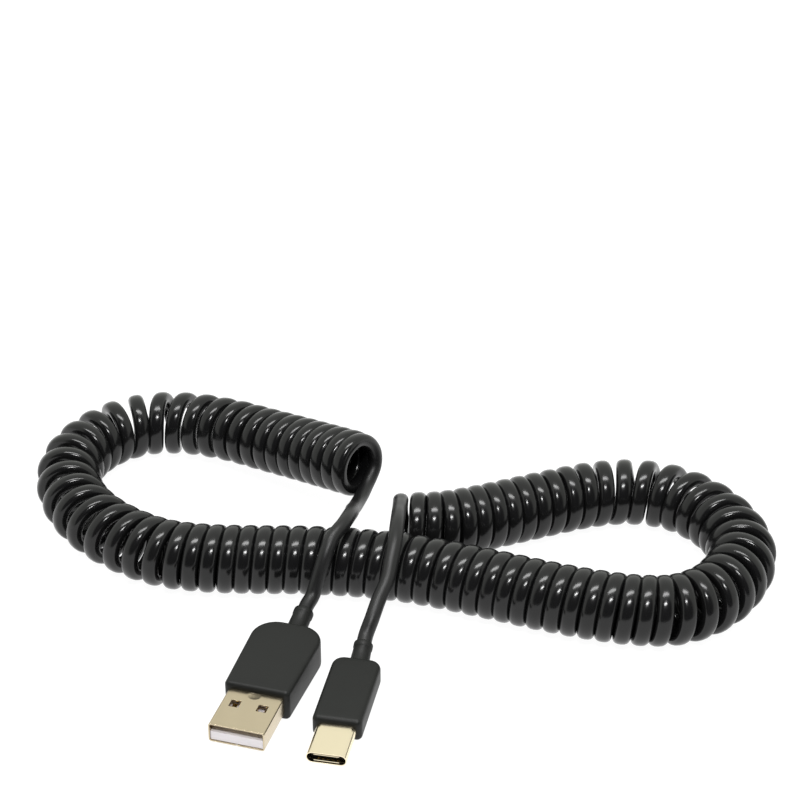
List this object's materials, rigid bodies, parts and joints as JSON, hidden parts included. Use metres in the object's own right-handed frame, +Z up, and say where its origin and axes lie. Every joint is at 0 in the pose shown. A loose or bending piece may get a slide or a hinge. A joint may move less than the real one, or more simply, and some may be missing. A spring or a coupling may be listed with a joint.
{
  "type": "coiled usb c cable",
  "caption": "Black curly cord lying in an open loop, its straight ends crossing the near strand to a USB-A plug and a USB-C plug.",
  "frame": {"origin": "middle of the whole cable's box in plan, on the level surface that it lies on", "axes": "+Z up, +X along the loop's length from its left bend to its right bend as pictured, -Y the side that the plugs lie on"},
  "size_m": [0.1716, 0.1304, 0.0215],
  "materials": {
    "cord_jacket": "glossy",
    "overmould": "fine satin texture",
    "nickel_shell": "nickel plated",
    "bright_shell": "bright",
    "white_plastic": "satin",
    "black_plastic": "satin",
    "contacts": "gold plated"
  },
  "bodies": {
    "root": {"cord_coil": "cord_jacket", "cord_tail_usb_a": "cord_jacket", "cord_tail_usb_c": "cord_jacket", "usb_a_overmould": "overmould", "usb_a_shell": "nickel_shell", "usb_a_insulator": "white_plastic", "usb_a_contact_1": "contacts", "usb_a_contact_2": "contacts", "usb_a_contact_3": "contacts", "usb_a_contact_4": "contacts", "usb_c_overmould": "overmould", "usb_c_shell": "bright_shell", "usb_c_insulator": "black_plastic", "usb_c_spring_upper": "bright_shell", "usb_c_spring_lower": "bright_shell", "usb_c_contact_upper_1": "contacts", "usb_c_contact_upper_2": "contacts", "usb_c_contact_upper_3": "contacts", "usb_c_contact_upper_4": "contacts", "usb_c_contact_upper_5": "contacts", "usb_c_contact_lower_1": "contacts", "usb_c_contact_lower_2": "contacts", "usb_c_contact_lower_3": "contacts", "usb_c_contact_lower_4": "contacts", "usb_c_contact_lower_5": "contacts"}
  },
  "joints": []
}
